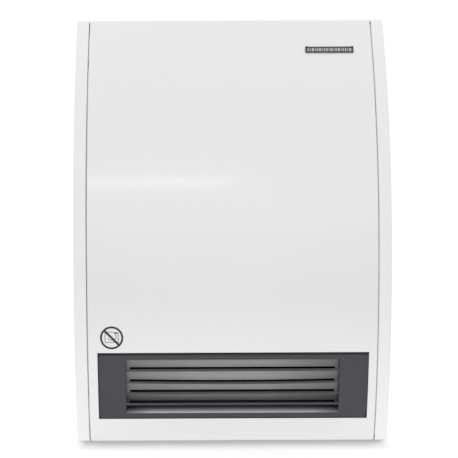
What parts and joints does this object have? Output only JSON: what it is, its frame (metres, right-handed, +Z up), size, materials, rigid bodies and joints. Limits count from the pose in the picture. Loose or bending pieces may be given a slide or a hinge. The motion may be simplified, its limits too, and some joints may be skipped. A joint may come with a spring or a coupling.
{
  "type": "fan convector heater",
  "caption": "Wall-hung downflow fan heater: bowed white steel cover between two cheeks, dark louvred outlet at the bottom, wall bracket and cross-flow fan inside.",
  "frame": {"origin": "middle of the wall bracket's back face, in the wall plane, at mid-width and mid-height of the heater", "axes": "+Z up, +X to the right of the heater as seen from the room, the heater stands out from the wall towards -Y"},
  "size_m": [0.336, 0.125, 0.46],
  "materials": {
    "cover_paint": "satin white powder coat",
    "cheek_plastic": "fine-textured white moulding",
    "grille_plastic": "dark grey moulding",
    "louvre_metal": "satin",
    "badge_plate": "gloss",
    "black_print": "print",
    "zinc_steel": "zinc plated",
    "galvanised": "galvanised spangle",
    "shaft_steel": "ground",
    "fan_aluminium": "mill finish",
    "bronze": "sintered",
    "black_rubber": "matt",
    "lamination": "oiled lamination edges",
    "winding": "enamelled copper under clear tape",
    "diecast": "die cast",
    "mica": "mica board",
    "resistance_wire": "oxidised",
    "thermal_can": "pressed can",
    "black_plastic": "moulded",
    "knob_plastic": "light grey moulding",
    "cream_plastic": "moulded polyamide",
    "wire_sheath": "silicone sheath",
    "duct_black": "heat-resistant black enamel"
  },
  "bodies": {
    "wall_mount": {"wall_bracket": "zinc_steel"},
    "housing": {"left_cheek": "cheek_plastic", "right_cheek": "cheek_plastic", "rear_chassis": "galvanised", "hinge_pins": "shaft_steel", "fan_bearing_bush": "bronze", "fan_bush_mount": "black_rubber", "fan_end_plate_left": "galvanised", "fan_end_plate_right": "galvanised", "fan_scroll": "galvanised", "fan_tongue": "galvanised", "fan_unit_screws": "zinc_steel", "motor_stator": "lamination", "motor_coil": "winding", "motor_bracket_inner": "diecast", "motor_bracket_outer": "diecast", "motor_spacers": "zinc_steel", "motor_screws": "zinc_steel", "element_frame": "mica", "heating_coils": "resistance_wire", "outlet_duct": "duct_black", "thermal_cutout": "thermal_can", "thermal_fuse": "cream_plastic", "thermostat_body": "cream_plastic", "switch_body": "black_plastic", "terminal_block": "cream_plastic", "terminal_screws": "zinc_steel", "cable_clamp": "black_plastic", "clamp_screws": "zinc_steel", "cable_grommet": "black_rubber", "earth_stud": "bronze", "cheek_screws": "zinc_steel", "wiring_harness": "wire_sheath"},
    "front_cover": {"front_panel": "cover_paint", "outlet_grille": "grille_plastic", "outlet_louvre_sheet": "louvre_metal", "outlet_scoop": "louvre_metal", "name_badge": "badge_plate", "no_cover_symbol": "black_print", "cover_screws": "zinc_steel"},
    "fan_rotor": {"fan_wheel": "fan_aluminium", "fan_shaft": "shaft_steel", "motor_rotor": "lamination"},
    "thermostat_dial": {"thermostat_knob": "knob_plastic", "thermostat_shaft": "shaft_steel"},
    "power_rocker": {"switch_rocker": "black_plastic"}
  },
  "joints": [
    {"name": "housing_lift", "type": "slide", "parent": "wall_mount", "child": "housing", "axis": [0, 0, 1], "range_m": [0, 0.01]},
    {"name": "cover_hinge", "type": "hinge", "parent": "housing", "child": "front_cover", "pos_m": [0, -0.006, 0.2265], "axis": [-1, 0, 0], "range_deg": [0, 35]},
    {"name": "fan_spin", "type": "hinge", "parent": "housing", "child": "fan_rotor", "pos_m": [0, -0.062, -0.085], "axis": [1, 0, 0], "continuous": true},
    {"name": "thermostat_turn", "type": "hinge", "parent": "housing", "child": "thermostat_dial", "pos_m": [0.16, -0.05, 0.15], "axis": [1, 0, 0], "range_deg": [-135, 135]},
    {"name": "rocker_press", "type": "hinge", "parent": "housing", "child": "power_rocker", "pos_m": [0.161, -0.05, 0.1], "axis": [0, 1, 0], "range_deg": [0, 16]}
  ]
}
